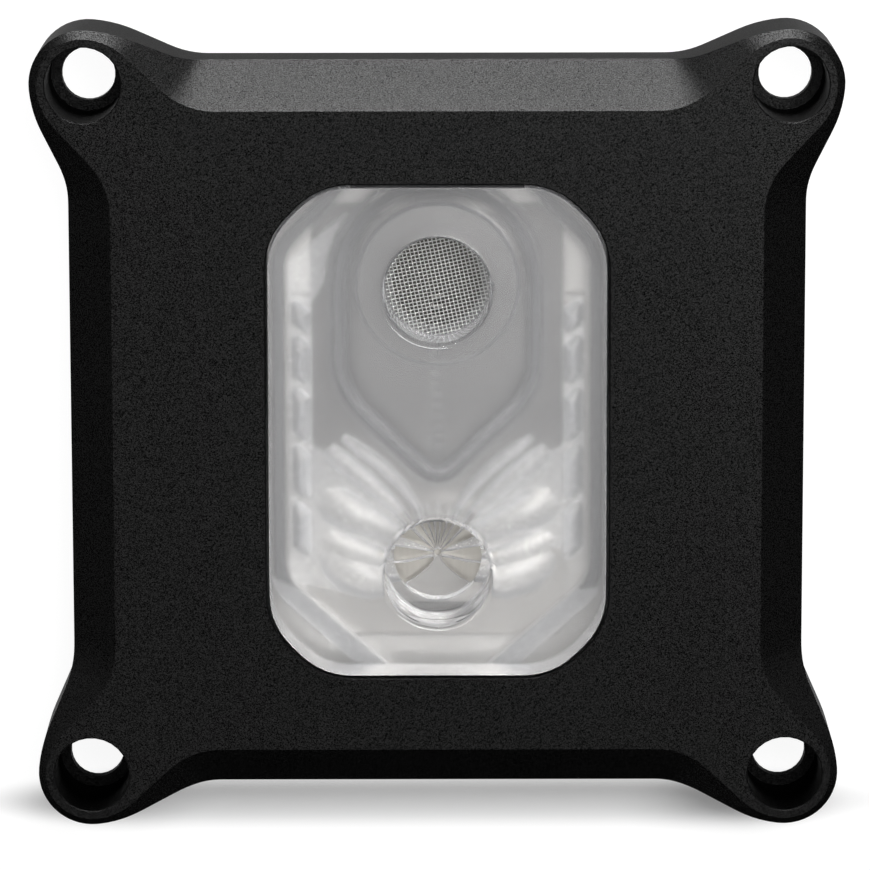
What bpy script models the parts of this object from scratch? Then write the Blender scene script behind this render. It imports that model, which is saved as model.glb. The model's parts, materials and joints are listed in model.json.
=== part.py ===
"""A processor water block: a black aluminium mounting frame round a clear flow body, on a finned cold plate.

Metres, +Z up. The origin is the middle of the contact face underneath, and water enters and leaves through the top.
Seen from above, the inlet is on the +Y side and the outlet on the -Y side.
"""

import math

import bmesh
import bpy
from mathutils import Matrix, Vector

for old in list(bpy.data.objects):
    bpy.data.objects.remove(old, do_unlink=True)

# Fits shared by all the pieces
FIT_GAP = 0.0003  # space between a piece and the one it sits on or in
OVERSHOOT = 0.002  # how far a cutter runs past the face it opens
SAME_POINT = 0.000001  # two arcs that end this near to each other share the point
SHARPEST_BEND = 0.0002  # radius left where an outline has moved in past its own corner

# Heights, from the contact face up
PEDESTAL_HEIGHT = 0.0010
PLATE_THICKNESS = 0.0035
FRAME_THICKNESS = 0.0128
FLANGE_THICKNESS = 0.0040

PLATE_UNDERSIDE = PEDESTAL_HEIGHT
PLATE_TOP = PLATE_UNDERSIDE + PLATE_THICKNESS
BODY_UNDERSIDE = PLATE_TOP + FIT_GAP
FRAME_TOP = BODY_UNDERSIDE + FRAME_THICKNESS
FLANGE_TOP = BODY_UNDERSIDE + FLANGE_THICKNESS

# Mounting frame, a square with an ear at each corner
HOLE_PITCH = 0.0780
MOUNT_HOLE_RADIUS = 0.0030
COUNTERBORE_RADIUS = 0.0042
COUNTERBORE_DEPTH = 0.0113
MOUNT_HOLE_STEPS = 28
SIDE_PAST_HOLES = 0.00215  # how far the sides stand out past the axes of the holes
SIDE_HALF = HOLE_PITCH / 2 + SIDE_PAST_HOLES
CHAMFER_WIDTH = 0.0049
CHAMFER_ANGLE = math.radians(52)
CHAMFER_OVERRUN = 0.0029  # how far the chamfer's cutter is followed past the sides
TOP_HALF = SIDE_HALF - CHAMFER_WIDTH
CHAMFER_REACH = CHAMFER_WIDTH + CHAMFER_OVERRUN
EDGE_BREAK = 0.00014
UNDERSIDE_CHAMFER = 0.0004

# Each outline of the frame: ear radius, shoulder radius, where the shoulder starts, neck angle, fillet at the side
OUTER_EAR = (0.0060, 0.0152, math.radians(95), math.radians(23.7), 0.0105)
TOP_EAR = (0.00525, 0.0073, math.radians(97), math.radians(43), 0.0084)
FILLET_STEPS = 6
SHOULDER_STEPS = 5
OUTER_EAR_STEPS = 14
TOP_EAR_STEPS = 15

# Window in the frame and the plug of the flow body that fills it
WINDOW_HALF_X = 0.0191
WINDOW_HALF_Y = 0.0279
WINDOW_CUT = 0.0060
WINDOW_RADIUS = 0.0084
WINDOW_STEPS = 6
PLUG_CHAMFER = 0.00012

# Ports with a quarter-inch pipe thread, drawn at its tapping size
PORT_OFFSET = 0.0160
PORT_RADIUS = 0.0059
PORT_MOUTH_RADIUS = 0.0066
INLET_SEAT_DEPTH = 0.0070
INLET_THROAT_RADIUS = 0.0050
OUTLET_THREAD_DEPTH = 0.0080
OUTLET_THROAT_RADIUS = 0.0050
OUTLET_FLOOR = 0.00095  # thickness left under the outlet's flat floor
PORT_STEPS = 44

# Inlet chamber, shaped like a shield under the inlet port
CHAMBER_HALF = 0.01150
CHAMBER_KINK_Y = 0.00355
CHAMBER_TIP_Y = -0.00740
CHAMBER_KINK_RADIUS = 0.0090
CHAMBER_TIP_RADIUS = 0.0026
CHAMBER_HEIGHT = 0.0044
CHAMBER_ROOF_RADIUS = 0.0028
CHAMBER_ROOF_STEPS = 4
CHAMBER_STEPS = 7
ROOF_RECESS_RADIUS = 0.0093  # shallow round recess in the roof, under the port
ROOF_RECESS_DEPTH = 0.0006
ROOF_RECESS_SLOPE = 0.0004
ROOF_RECESS_STEPS = 48

# Rubber cord that seals the foot of the chamber wall
CHAMBER_SEAL_RADIUS = 0.00035
CHAMBER_SEAL_OFFSET = 0.00045

# Fan of curved channels that run together under the outlet. Each is a path on the +X side with, at every station,
# the place, the half width and the height of the channel's round roof. The last one lies on the middle line.
FAN_CHANNELS = (
    (
        (0.00045, -0.01660, 0.00025, 0.00115),
        (0.00145, -0.01720, 0.00075, 0.00140),
        (0.00300, -0.01800, 0.00115, 0.00170),
        (0.00500, -0.01865, 0.00165, 0.00200),
        (0.00750, -0.01850, 0.00230, 0.00220),
        (0.00980, -0.01750, 0.00260, 0.00200),
        (0.01160, -0.01610, 0.00210, 0.00140),
        (0.01280, -0.01510, 0.00110, 0.00070),
    ),
    (
        (0.00045, -0.01602, 0.00018, 0.00115),
        (0.00150, -0.01605, 0.00042, 0.00130),
        (0.00300, -0.01610, 0.00075, 0.00150),
        (0.00470, -0.01610, 0.00100, 0.00170),
        (0.00700, -0.01580, 0.00140, 0.00190),
        (0.00950, -0.01510, 0.00180, 0.00180),
        (0.01180, -0.01400, 0.00160, 0.00130),
        (0.01300, -0.01330, 0.00090, 0.00070),
    ),
    (
        (0.00042, -0.01575, 0.00014, 0.00115),
        (0.00140, -0.01510, 0.00033, 0.00130),
        (0.00350, -0.01372, 0.00082, 0.00160),
        (0.00470, -0.01310, 0.00125, 0.00180),
        (0.00700, -0.01200, 0.00185, 0.00210),
        (0.00970, -0.01090, 0.00225, 0.00220),
        (0.01180, -0.00970, 0.00230, 0.00170),
        (0.01320, -0.00890, 0.00160, 0.00080),
    ),
    (
        (0.00033, -0.01555, 0.00011, 0.00115),
        (0.00105, -0.01460, 0.00028, 0.00130),
        (0.00245, -0.01270, 0.00050, 0.00150),
        (0.00426, -0.01055, 0.00080, 0.00170),
        (0.00587, -0.00890, 0.00100, 0.00190),
        (0.00820, -0.00675, 0.00130, 0.00200),
        (0.01080, -0.00470, 0.00130, 0.00170),
        (0.01240, -0.00330, 0.00080, 0.00090),
    ),
    (
        (0.00020, -0.01545, 0.00009, 0.00110),
        (0.00062, -0.01450, 0.00019, 0.00120),
        (0.00130, -0.01290, 0.00032, 0.00130),
        (0.00235, -0.01000, 0.00050, 0.00150),
        (0.00405, -0.00740, 0.00072, 0.00170),
        (0.00605, -0.00538, 0.00082, 0.00180),
        (0.00855, -0.00350, 0.00082, 0.00150),
        (0.01070, -0.00190, 0.00050, 0.00080),
    ),
    (
        (0.00009, -0.01540, 0.00006, 0.00110),
        (0.00028, -0.01450, 0.00014, 0.00120),
        (0.00060, -0.01300, 0.00027, 0.00130),
        (0.00100, -0.01100, 0.00040, 0.00130),
        (0.00128, -0.00970, 0.00020, 0.00070),
    ),
    (
        (0.00000, -0.01535, 0.00006, 0.00110),
        (0.00000, -0.01450, 0.00012, 0.00120),
        (0.00000, -0.01300, 0.00022, 0.00130),
        (0.00000, -0.01100, 0.00035, 0.00130),
        (0.00000, -0.00940, 0.00020, 0.00070),
    ),
)
FAN_WALL = 0.00015  # upright foot of a channel's sides
FAN_ROOF_STEPS = 5
FAN_EYE_RADIUS = 0.00045
FAN_EYE_STEPS = 10

# Collectors at the two ends of the fins: a low passage with slanted pockets over it
COLLECTOR_FROM_CHAMBER = 0.0038  # from the chamber's wall to the middle of the collector
COLLECTOR_X = CHAMBER_HALF + COLLECTOR_FROM_CHAMBER
COLLECTOR_HALF = 0.0012
COLLECTOR_HEIGHT = 0.0006
COLLECTOR_BEND_RADIUS = 0.0006
COLLECTOR_INLET_END = (0.0129, 0.0149)
COLLECTOR_OUTLET_END = (-0.0168, -0.0148)
POCKET_BREAKS = (-0.0147, -0.0081, -0.00155, 0.0050, 0.01095, 0.0148)  # ribs, where they meet the outer side
POCKET_INSIDE = 0.00012  # how far the pockets' sides stand back from the passage's
POCKET_SLANT = 0.0020  # how much lower a rib is at the inner side
POCKET_RIB_HALF = 0.00032
POCKET_RADIUS = 0.0006
POCKET_HEIGHT = 0.0025
POCKET_WALL = 0.0009
POCKET_ROOF_INSET = 0.0010
POCKET_ROOF_STEPS = 2
POCKET_CORNER_STEPS = 2
GATE_HEIGHT = 0.0005
GATE_INNER_X = 0.0105
GATE_OUTER_X = COLLECTOR_X
GATE_OUTLET_Y = -0.0148
GATE_INLET_ENDS = (-0.00485, -0.00205)

# Main seal, an O-ring round everything that holds water
SEAL_RADIUS = 0.0008
SEAL_PAST_COLLECTOR = 0.0014
SEAL_PAST_CHAMBER = 0.0028
SEAL_HALF_X = COLLECTOR_X + COLLECTOR_HALF + SEAL_PAST_COLLECTOR
SEAL_HALF_Y = PORT_OFFSET + CHAMBER_HALF + SEAL_PAST_CHAMBER
SEAL_INLET_END_HALF = 0.0077
SEAL_OUTLET_END_HALF = 0.0048
SEAL_INLET_CUT = (SEAL_HALF_X - SEAL_INLET_END_HALF, 0.0109)
SEAL_OUTLET_CUT = (SEAL_HALF_X - SEAL_OUTLET_END_HALF, 0.0116)
SEAL_BEND_RADIUS = 0.0050
SEAL_BEND_STEPS = 4

# Flange that the frame holds down on the cold plate
FLANGE_PAST_SEAL_X = 0.0047
FLANGE_PAST_SEAL_Y = 0.0031
FLANGE_HALF_X = SEAL_HALF_X + FLANGE_PAST_SEAL_X
FLANGE_HALF_Y = SEAL_HALF_Y + FLANGE_PAST_SEAL_Y
FLANGE_END_HALF = 0.0086
FLANGE_CUT_X = FLANGE_HALF_X - FLANGE_END_HALF
FLANGE_CUT_Y = 0.0145
FLANGE_RADIUS = 0.0040

# Plate screws, countersunk, from underneath
SCREW_PAST_FLANGE_X = 0.0040
SCREW_PAST_FLANGE_Y = 0.0032
SCREW_SIDE_X = FLANGE_HALF_X + SCREW_PAST_FLANGE_X
SCREW_SIDE_ROWS = (-0.0240, 0.0, 0.0240)
SCREW_END_Y = FLANGE_HALF_Y + SCREW_PAST_FLANGE_Y
SCREW_END_COLUMNS = (-0.0120, 0.0120)
SCREW_RADIUS = 0.0015
SCREW_HEAD_RADIUS = 0.0028
SCREW_LENGTH = 0.0085
SCREW_RIM = 0.0003
SCREW_SOCKET_RADIUS = 0.00115
SCREW_SOCKET_DEPTH = 0.0011
SCREW_STEPS = 12

# Cold plate
PLATE_PAST_SCREWS_X = 0.0036
PLATE_PAST_SCREWS_Y = 0.0030
PLATE_HALF_X = SCREW_SIDE_X + PLATE_PAST_SCREWS_X
PLATE_HALF_Y = SCREW_END_Y + PLATE_PAST_SCREWS_Y
PLATE_CORNER_RADIUS = 0.0060
PLATE_EDGE_CHAMFER = 0.0003
PEDESTAL_HALF = 0.0190
PEDESTAL_RADIUS = 0.0020
FIN_PITCH = 0.0012
FIN_SLOT_WIDTH = 0.0006
FIN_SLOT_COUNT = 25
FIN_SLOT_HALF_LENGTH = COLLECTOR_X + COLLECTOR_HALF
FIN_HEIGHT = 0.0018

# Jet plate, a thin sheet over the fins with the slot that feeds them
JET_THICKNESS = 0.0005
JET_HALF_X = 0.0141
JET_HALF_Y = 0.0246
JET_CORNER_RADIUS = 0.0010
JET_SLOT_HALF = 0.00070
JET_SLOT_ENDS = (-0.0054, 0.0140)
JET_SLOT_END_RADIUS = 0.00068

# Inlet filter
FILTER_RADIUS = PORT_RADIUS - FIT_GAP
FILTER_THICKNESS = 0.0005
FILTER_PITCH = 0.00120
FILTER_GAP = 0.00062
FILTER_RIM = 0.0007


def material(name, colour, roughness, metallic=0.0, transmission=0.0):
    made = bpy.data.materials.new(name)
    made.use_nodes = True
    shader = made.node_tree.nodes["Principled BSDF"]
    shader.inputs["Base Color"].default_value = (*colour, 1.0)
    shader.inputs["Roughness"].default_value = roughness
    shader.inputs["Metallic"].default_value = metallic
    shader.inputs["Transmission Weight"].default_value = transmission
    return made


def make_object(name, shape, finish, sharp_angle=35):
    """Turns a bmesh into a named object, smooth except at edges sharper than the angle."""
    mesh = bpy.data.meshes.new(name)
    shape.to_mesh(mesh)
    shape.free()
    mesh.materials.append(finish)
    mesh.shade_smooth()
    mesh.set_sharp_from_angle(angle=math.radians(sharp_angle))
    made = bpy.data.objects.new(name, mesh)
    bpy.context.collection.objects.link(made)
    return made


def make_cutter(name, shape):
    cutter = make_object(name, shape, cutter_finish)
    cutter.hide_render = True
    cutter.display_type = "WIRE"
    return cutter


def cut(target, *cutters):
    for cutter in cutters:
        step = target.modifiers.new("cut " + cutter.name, "BOOLEAN")
        step.operation = "DIFFERENCE"
        step.solver = "EXACT"
        step.object = cutter


def arc(centre, radius, start, end, steps):
    """Points on an arc from one angle to another, both ends included."""
    turns = [start + (end - start) * step / steps for step in range(steps + 1)]
    return [Vector((centre[0] + radius * math.cos(turn), centre[1] + radius * math.sin(turn))) for turn in turns]


def rounded_outline(corners, radii, steps):
    """A closed anticlockwise outline whose convex corners are arcs."""
    outline = []
    for index, corner in enumerate(corners):
        corner = Vector(corner)
        arriving = (corner - Vector(corners[index - 1])).normalized()
        leaving = (Vector(corners[(index + 1) % len(corners)]) - corner).normalized()
        turn = arriving.angle(leaving)
        radius = radii[index]
        tangent = corner - arriving * radius * math.tan(turn / 2)
        centre = tangent + Vector((-arriving.y, arriving.x)) * radius
        start = math.atan2(tangent.y - centre.y, tangent.x - centre.x)
        bend = arc(centre, radius, start, start + turn, steps)
        outline += bend[1:] if outline and (outline[-1] - bend[0]).length < SAME_POINT else bend
    return outline


def moved_corners(corners, distance):
    """The corners of the same outline with each side moved outwards."""
    moved = []
    for index, corner in enumerate(corners):
        corner = Vector(corner)
        arriving = (corner - Vector(corners[index - 1])).normalized()
        leaving = (Vector(corners[(index + 1) % len(corners)]) - corner).normalized()
        out_before = Vector((arriving.y, -arriving.x))
        out_after = Vector((leaving.y, -leaving.x))
        middle = (out_before + out_after).normalized()
        moved.append(corner + middle * distance / middle.dot(out_before))
    return moved


def grown_outline(corners, radii, distance, steps):
    """The rounded outline moved outwards, or inwards where the distance is negative."""
    grown = [max(radius + distance, SHARPEST_BEND) for radius in radii]
    return rounded_outline(moved_corners(corners, distance), grown, steps)


def mitred(outline, distance):
    """Any closed outline moved inwards point by point."""
    moved = []
    for index, point in enumerate(outline):
        arriving = (point - outline[index - 1]).normalized()
        leaving = (outline[(index + 1) % len(outline)] - point).normalized()
        inwards = Vector((-arriving.y - leaving.y, arriving.x + leaving.x)).normalized()
        moved.append(point + inwards * distance / inwards.dot(Vector((-arriving.y, arriving.x))))
    return moved


def rectangle(half_x, half_y):
    return [(half_x, -half_y), (half_x, half_y), (-half_x, half_y), (-half_x, -half_y)]


def octagon(half_x, half_y, inlet_cut, outlet_cut):
    """A rectangle with its four corners cut off, anticlockwise. A cut is how much it takes off x and y."""
    (top_x, top_y), (low_x, low_y) = inlet_cut, outlet_cut
    return [
        (half_x - low_x, -half_y),
        (half_x, -half_y + low_y),
        (half_x, half_y - top_y),
        (half_x - top_x, half_y),
        (-half_x + top_x, half_y),
        (-half_x, half_y - top_y),
        (-half_x, -half_y + low_y),
        (-half_x + low_x, -half_y),
    ]


def loft(rings):
    """A closed solid through matching rings of points, from the lowest to the highest, with flat ends."""
    shape = bmesh.new()
    rows = [[shape.verts.new(point) for point in ring] for ring in rings]
    count = len(rows[0])
    for low, high in zip(rows, rows[1:]):
        for index in range(count):
            after = (index + 1) % count
            shape.faces.new((low[index], low[after], high[after], high[index]))
    shape.faces.new(reversed(rows[0]))
    shape.faces.new(rows[-1])
    return shape


def level(outline, height):
    return [(point[0], point[1], height) for point in outline]


def prism(outline, bottom, top):
    return loft([level(outline, bottom), level(outline, top)])


def turned(profile, steps, centre=(0.0, 0.0)):
    """A solid of revolution about a vertical axis, from points of radius and height that start and end on the axis."""
    shape = bmesh.new()
    rim = [shape.verts.new((radius, 0.0, height)) for radius, height in profile]
    edges = [shape.edges.new(pair) for pair in zip(rim, rim[1:])]
    bmesh.ops.spin(
        shape,
        geom=rim + edges,
        cent=(0, 0, 0),
        axis=(0, 0, 1),
        angle=2 * math.pi,
        steps=steps,
        use_merge=True,
    )
    bmesh.ops.remove_doubles(shape, verts=shape.verts, dist=SAME_POINT)
    bmesh.ops.recalc_face_normals(shape, faces=shape.faces)
    half_step = Matrix.Rotation(math.pi / steps, 4, "Z")
    bmesh.ops.transform(shape, verts=shape.verts, matrix=Matrix.Translation((*centre, 0)) @ half_step)
    return shape


def swept_ring(path, radius, height, sides):
    """A closed cord of round section that follows a flat outline."""
    shape = bmesh.new()
    rows = []
    for index, point in enumerate(path):
        along = (path[(index + 1) % len(path)] - path[index - 1]).normalized()
        outwards = Vector((along.y, -along.x, 0))
        row = []
        for side in range(sides):
            turn = 2 * math.pi * (side + 0.5) / sides
            spot = Vector((point.x, point.y, height))
            spot += outwards * radius * math.cos(turn) + Vector((0, 0, radius * math.sin(turn)))
            row.append(shape.verts.new(spot))
        rows.append(row)
    for index, row in enumerate(rows):
        after = rows[(index + 1) % len(rows)]
        for side in range(sides):
            beside = (side + 1) % sides
            shape.faces.new((row[side], after[side], after[beside], row[beside]))
    bmesh.ops.recalc_face_normals(shape, faces=shape.faces)
    return shape


def joined(shapes):
    """Several separate solids in one bmesh."""
    whole = bmesh.new()
    for shape in shapes:
        mesh = bpy.data.meshes.new("part of a cutter")
        shape.to_mesh(mesh)
        shape.free()
        whole.from_mesh(mesh)
        bpy.data.meshes.remove(mesh)
    return whole


def ear_outline(half_width, ear, ear_steps):
    """The frame's outline seen from above: four straight sides, and an ear round each mounting hole."""
    ear_radius, shoulder_radius, shoulder_start, neck, fillet_radius = ear
    hole = Vector((HOLE_PITCH / 2, HOLE_PITCH / 2))
    back = ear_radius - shoulder_radius
    shoulder = hole + back * Vector((math.cos(shoulder_start), math.sin(shoulder_start)))
    across = Vector((-math.sin(neck), math.cos(neck)))
    neck_end = shoulder + shoulder_radius * across
    fillet_y = half_width + fillet_radius
    fillet_x = neck_end.x + (fillet_radius - (fillet_y - neck_end.y) * across.y) / across.x
    quarter_turn = math.pi / 2
    far_neck = arc((fillet_x, fillet_y), fillet_radius, -quarter_turn, neck - quarter_turn, FILLET_STEPS)
    far_neck += arc(shoulder, shoulder_radius, quarter_turn + neck, shoulder_start, SHOULDER_STEPS)
    near_neck = [Vector((point.y, point.x)) for point in far_neck]
    bend = arc(hole, ear_radius, quarter_turn - shoulder_start, shoulder_start, ear_steps)
    corner = near_neck + bend[1:-1] + far_neck[::-1]
    outline = []
    for side in range(4):
        turn = Matrix.Rotation(side * quarter_turn, 2)
        outline += [turn @ point for point in corner]
    return outline


def wider_ear_outline(distance):
    """The outline of the top face moved outwards: convex bends grow and the bends at the necks tighten."""
    ear_radius, shoulder_radius, shoulder_start, neck, fillet_radius = TOP_EAR
    ear = (ear_radius + distance, shoulder_radius + distance, shoulder_start, neck, fillet_radius - distance)
    return ear_outline(TOP_HALF + distance, ear, TOP_EAR_STEPS)


def mount_holes():
    half = HOLE_PITCH / 2
    return [(x, y) for x in (-half, half) for y in (-half, half)]


def screw_places():
    places = [(side * SCREW_SIDE_X, y) for side in (-1, 1) for y in SCREW_SIDE_ROWS]
    places += [(x, side * SCREW_END_Y) for side in (-1, 1) for x in SCREW_END_COLUMNS]
    return places


# Corners of the outlines that several pieces share
WINDOW_CUTS = (WINDOW_CUT, WINDOW_CUT)
FLANGE_CUTS = (FLANGE_CUT_X, FLANGE_CUT_Y)
window_corners = octagon(WINDOW_HALF_X, WINDOW_HALF_Y, WINDOW_CUTS, WINDOW_CUTS)
flange_corners = octagon(FLANGE_HALF_X, FLANGE_HALF_Y, FLANGE_CUTS, FLANGE_CUTS)
seal_corners = octagon(SEAL_HALF_X, SEAL_HALF_Y, SEAL_INLET_CUT, SEAL_OUTLET_CUT)
chamber_corners = [
    (0.0, CHAMBER_TIP_Y),
    (CHAMBER_HALF, CHAMBER_KINK_Y),
    (CHAMBER_HALF, PORT_OFFSET + CHAMBER_HALF),
    (-CHAMBER_HALF, PORT_OFFSET + CHAMBER_HALF),
    (-CHAMBER_HALF, CHAMBER_KINK_Y),
]
chamber_radii = [CHAMBER_TIP_RADIUS, CHAMBER_KINK_RADIUS, CHAMBER_HALF, CHAMBER_HALF, CHAMBER_KINK_RADIUS]


def window_outline(distance):
    return grown_outline(window_corners, [WINDOW_RADIUS] * 8, distance, WINDOW_STEPS)


def flange_outline(distance):
    return grown_outline(flange_corners, [FLANGE_RADIUS] * 8, distance, WINDOW_STEPS)


def seal_outline(distance):
    return grown_outline(seal_corners, [SEAL_BEND_RADIUS] * 8, distance, SEAL_BEND_STEPS)


def mirrored(corners, side):
    """The corners as they are for side 1, or mirrored to the -X side and kept anticlockwise for side -1."""
    return corners if side > 0 else [(-x, y) for x, y in reversed(corners)]


def pocket_corners(side):
    """The four corners of each slanted pocket on one side, anticlockwise."""
    inner = COLLECTOR_X - COLLECTOR_HALF + POCKET_INSIDE
    outer = COLLECTOR_X + COLLECTOR_HALF - POCKET_INSIDE
    pockets = []
    for low, high in zip(POCKET_BREAKS, POCKET_BREAKS[1:]):
        foot, head = low + POCKET_RIB_HALF, high - POCKET_RIB_HALF
        corners = [(inner, foot - POCKET_SLANT), (outer, foot), (outer, head), (inner, head - POCKET_SLANT)]
        pockets.append(mirrored(corners, side))
    return pockets


def pocket_outline(slanted, inset):
    return grown_outline(slanted, [POCKET_RADIUS] * 4, -inset, POCKET_CORNER_STEPS)


def chamber_outline(distance):
    return grown_outline(chamber_corners, chamber_radii, distance, CHAMBER_STEPS)


def make_mounting_frame():
    """One milled plate. The cutter that chamfers it follows the top face, so the chamfer has one slope all round."""
    side = ear_outline(SIDE_HALF, OUTER_EAR, OUTER_EAR_STEPS)
    shape = loft(
        [
            level(mitred(side, UNDERSIDE_CHAMFER), BODY_UNDERSIDE),
            level(side, BODY_UNDERSIDE + UNDERSIDE_CHAMFER),
            level(side, FRAME_TOP + OVERSHOOT),
        ]
    )
    frame = make_object("mounting_frame", shape, black_anodised, sharp_angle=24)

    reach = CHAMFER_REACH
    top = wider_ear_outline(0)
    slope = math.tan(CHAMFER_ANGLE)
    envelope = loft(
        [
            level(wider_ear_outline(reach), BODY_UNDERSIDE - OVERSHOOT),
            level(wider_ear_outline(reach), FRAME_TOP - slope * reach),
            level(top, FRAME_TOP - EDGE_BREAK),
            level(mitred(top, EDGE_BREAK), FRAME_TOP),
        ]
    )
    keep = frame.modifiers.new("chamfer", "BOOLEAN")
    keep.operation = "INTERSECT"
    keep.solver = "EXACT"
    keep.object = make_cutter("chamfer envelope", envelope)

    window = loft(
        [
            level(window_outline(0), BODY_UNDERSIDE - OVERSHOOT),
            level(window_outline(0), FRAME_TOP - EDGE_BREAK),
            level(window_outline(EDGE_BREAK + OVERSHOOT), FRAME_TOP + OVERSHOOT),
        ]
    )
    recess = prism(flange_outline(FIT_GAP), BODY_UNDERSIDE - OVERSHOOT, FLANGE_TOP + FIT_GAP)
    seat = FRAME_TOP - COUNTERBORE_DEPTH
    hole_profile = [
        (0, BODY_UNDERSIDE - OVERSHOOT),
        (MOUNT_HOLE_RADIUS, BODY_UNDERSIDE - OVERSHOOT),
        (MOUNT_HOLE_RADIUS, seat),
        (COUNTERBORE_RADIUS, seat),
        (COUNTERBORE_RADIUS, FRAME_TOP - EDGE_BREAK),
        (COUNTERBORE_RADIUS + EDGE_BREAK + OVERSHOOT, FRAME_TOP + OVERSHOOT),
        (0, FRAME_TOP + OVERSHOOT),
    ]
    holes = joined([turned(hole_profile, MOUNT_HOLE_STEPS, place) for place in mount_holes()])
    thread_top = PLATE_UNDERSIDE + SCREW_LENGTH + FIT_GAP
    thread_radius = SCREW_RADIUS + FIT_GAP
    thread_profile = [
        (0, BODY_UNDERSIDE - OVERSHOOT),
        (thread_radius, BODY_UNDERSIDE - OVERSHOOT),
        (thread_radius, thread_top),
        (0, thread_top + thread_radius / 2),
    ]
    threads = joined([turned(thread_profile, SCREW_STEPS, place) for place in screw_places()])
    cut(
        frame,
        make_cutter("window", window),
        make_cutter("flange recess", recess),
        make_cutter("mounting holes", holes),
        make_cutter("screw threads", threads),
    )


def fan_channel(stations, side):
    """A channel with a round roof along a curved path. It is drawn as upright sections across the path."""
    places = [Vector((side * x, y)) for x, y, half_width, height in stations]
    rings = []
    for index, (x, y, half_width, height) in enumerate(stations):
        ahead = places[min(index + 1, len(places) - 1)]
        behind = places[max(index - 1, 0)]
        heading = (ahead - behind).normalized()
        across = Vector((-heading.y, heading.x))
        section = [(half_width, -OVERSHOOT)]
        for step in range(FAN_ROOF_STEPS + 1):
            turn = math.pi * step / FAN_ROOF_STEPS
            section.append((half_width * math.cos(turn), FAN_WALL + (height - FAN_WALL) * math.sin(turn)))
        section.append((-half_width, -OVERSHOOT))
        spots = [(places[index] + across * aside, BODY_UNDERSIDE + rise) for aside, rise in section]
        rings.append([(spot.x, spot.y, rise) for spot, rise in spots])
    shape = loft(rings)
    bmesh.ops.triangulate(shape, faces=shape.faces)
    bmesh.ops.recalc_face_normals(shape, faces=shape.faces)
    return shape


def fan_cutters():
    cutters = []
    for number, stations in enumerate(FAN_CHANNELS, 1):
        sides = (1, -1) if stations[-1][0] > SAME_POINT else (1,)
        for side in sides:
            cutters.append(make_cutter(f"fan channel {number} {side}", fan_channel(stations, side)))
    eye = arc((0, -PORT_OFFSET), FAN_EYE_RADIUS, 0, 2 * math.pi, FAN_EYE_STEPS)[:-1]
    cutters.append(make_cutter("fan eye", prism(eye, BODY_UNDERSIDE - OVERSHOOT, FLANGE_TOP)))
    return cutters


def collector_cutters():
    """The low passage over the ends of the fins on each side, with its pockets and the gate to the fan."""
    cutters = []
    below = BODY_UNDERSIDE - OVERSHOOT
    inner, outer = COLLECTOR_X - COLLECTOR_HALF, COLLECTOR_X + COLLECTOR_HALF
    for side, name in ((1, "right"), (-1, "left")):
        corners = [
            (inner, COLLECTOR_OUTLET_END[0]),
            (outer, COLLECTOR_OUTLET_END[1]),
            (outer, COLLECTOR_INLET_END[1]),
            (inner, COLLECTOR_INLET_END[0]),
        ]
        gate = [
            (GATE_INNER_X, GATE_OUTLET_Y),
            (GATE_OUTER_X, GATE_OUTLET_Y),
            (GATE_OUTER_X, GATE_INLET_ENDS[1]),
            (GATE_INNER_X, GATE_INLET_ENDS[0]),
        ]
        passage = rounded_outline(mirrored(corners, side), [COLLECTOR_BEND_RADIUS] * 4, 3)
        cutters.append(make_cutter(f"collector {name}", prism(passage, below, BODY_UNDERSIDE + COLLECTOR_HEIGHT)))
        gateway = rounded_outline(mirrored(gate, side), [COLLECTOR_BEND_RADIUS] * 4, 2)
        cutters.append(make_cutter(f"gate {name}", prism(gateway, below, BODY_UNDERSIDE + GATE_HEIGHT)))
        pockets = []
        for slanted in pocket_corners(side):
            rings = [level(pocket_outline(slanted, 0), below)]
            for step in range(POCKET_ROOF_STEPS + 1):
                turn = math.pi / 2 * step / POCKET_ROOF_STEPS
                inset = POCKET_ROOF_INSET * (1 - math.cos(turn))
                rise = POCKET_WALL + (POCKET_HEIGHT - POCKET_WALL) * math.sin(turn)
                rings.append(level(pocket_outline(slanted, inset), BODY_UNDERSIDE + rise))
            pockets.append(loft(rings))
        cutters.append(make_cutter(f"pockets {name}", joined(pockets)))
    return cutters


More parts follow.
